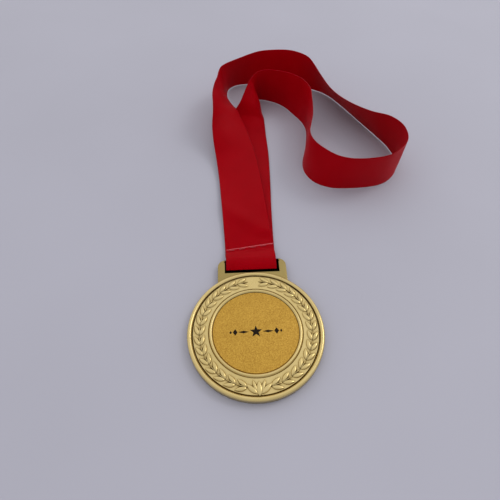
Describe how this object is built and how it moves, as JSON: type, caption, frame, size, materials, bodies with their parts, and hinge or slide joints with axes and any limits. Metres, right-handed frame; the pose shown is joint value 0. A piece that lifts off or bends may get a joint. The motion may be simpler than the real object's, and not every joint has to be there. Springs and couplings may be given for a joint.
{
  "type": "award medal on a neck ribbon",
  "caption": "Round cast medal with a raised wreath, a recessed foil centre disc and a slotted tab, hung on one sewn loop of satin neck ribbon that lies in open curves.",
  "frame": {"origin": "centre of the medal's flat back pad, on the plane the medal rests on", "axes": "+Z out of the medal's face, +Y from the medal's centre through the tab and the bar, +X to the right as the face is read"},
  "size_m": [0.131, 0.2481, 0.0289],
  "materials": {
    "gold_plate": "bright gold plating, lightly satin field",
    "gold_foil": "fine glitter foil on card",
    "adhesive": "clear adhesive film",
    "red_satin": "woven polyester satin",
    "thread": "spun polyester thread"
  },
  "bodies": {
    "ribbon": {"neck_ribbon": "red_satin", "seam_stitching": "thread"},
    "medal": {"medal_casting": "gold_plate", "centre_disc": "gold_foil", "disc_adhesive": "adhesive"}
  },
  "joints": [
    {"name": "medal_swing", "type": "hinge", "parent": "ribbon", "child": "medal", "pos_m": [0, 0.039, 0.00225], "axis": [-1, 0, 0], "range_deg": [0, 150]}
  ]
}
